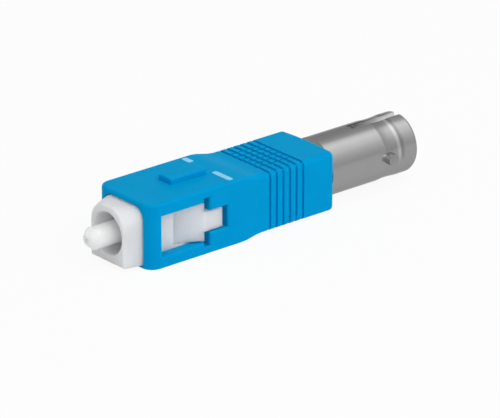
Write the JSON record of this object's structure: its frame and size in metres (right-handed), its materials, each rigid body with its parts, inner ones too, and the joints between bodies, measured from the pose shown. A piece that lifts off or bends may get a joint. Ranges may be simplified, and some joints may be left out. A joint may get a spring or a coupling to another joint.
{
  "type": "hybrid fibre adapter",
  "caption": "Fibre-optic hybrid adapter: square push-pull plug with a sprung ferrule at one end, round bayonet receptacle with keyway and lugs at the other, to join the two connector types.",
  "frame": {"origin": "On the optical axis, in the plane of the plug frame's front face.", "axes": "+X runs along the optical axis from the square plug to the mouth of the round receptacle, +Z is the side with the key bar, and Y completes a right-handed frame."},
  "size_m": [0.0439, 0.009, 0.0081],
  "materials": {
    "blue_plastic": "moulded, satin",
    "white_plastic": "moulded, satin",
    "zirconia": "ground and polished",
    "plated_metal": "turned and nickel plated",
    "spring_steel": "bright drawn wire",
    "fibre_glass": "cleaved glass"
  },
  "bodies": {
    "frame": {"plug_frame": "white_plastic", "receptacle_barrel": "plated_metal", "split_sleeve": "zirconia", "sleeve_stop": "plated_metal", "ferrule_spring": "spring_steel"},
    "housing": {"coupling_housing": "blue_plastic"},
    "ferrule": {"front_ferrule": "zirconia", "rear_ferrule": "zirconia", "ferrule_flange": "plated_metal", "fibre_stub": "fibre_glass"}
  },
  "joints": [
    {"name": "housing_slide", "type": "slide", "parent": "frame", "child": "housing", "axis": [1, 0, 0], "range_m": [-0.0006, 0]},
    {"name": "ferrule_float", "type": "slide", "parent": "frame", "child": "ferrule", "axis": [1, 0, 0], "range_m": [0, 0.0008], "stiffness_N_per_m": 1500, "deforming": ["ferrule_spring"]}
  ]
}
